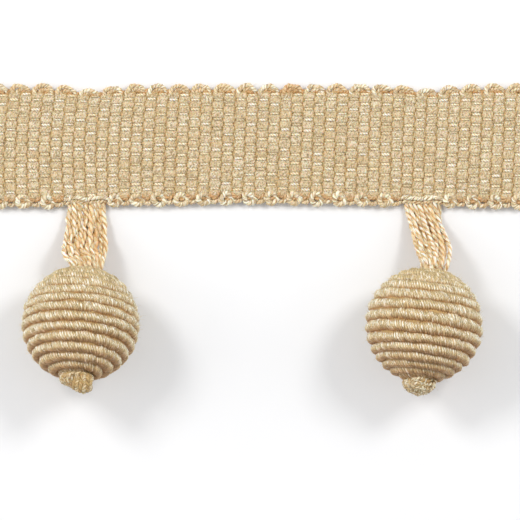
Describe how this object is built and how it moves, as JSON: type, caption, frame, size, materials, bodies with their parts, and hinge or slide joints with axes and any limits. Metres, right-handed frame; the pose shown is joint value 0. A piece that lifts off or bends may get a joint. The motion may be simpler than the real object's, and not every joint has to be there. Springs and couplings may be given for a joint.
{
  "type": "beaded fringe trim",
  "caption": "Ribbed woven braid with picot edges, carrying cord-wound balls on short yarn hangers, each tied off in a knot below.",
  "frame": {"origin": "middle of the braid's flat back face, which is what is sewn or glued down", "axes": "+X along the braid's length, +Y across it to its free picot edge, with the balls towards -Y, and +Z out of its face"},
  "size_m": [0.14, 0.0643, 0.0239],
  "materials": {
    "braid_yarn": "matte spun yarn ribs with dashes of glossy rayon",
    "hanger_yarn": "glossy two-ply twisted rayon yarn",
    "wound_cord": "satin cord wrapped crosswise with fine thread"
  },
  "bodies": {
    "root": {"braid": "braid_yarn", "hanger_left": "hanger_yarn", "hanger_right": "hanger_yarn", "ball_left": "wound_cord", "ball_right": "wound_cord"}
  },
  "joints": []
}
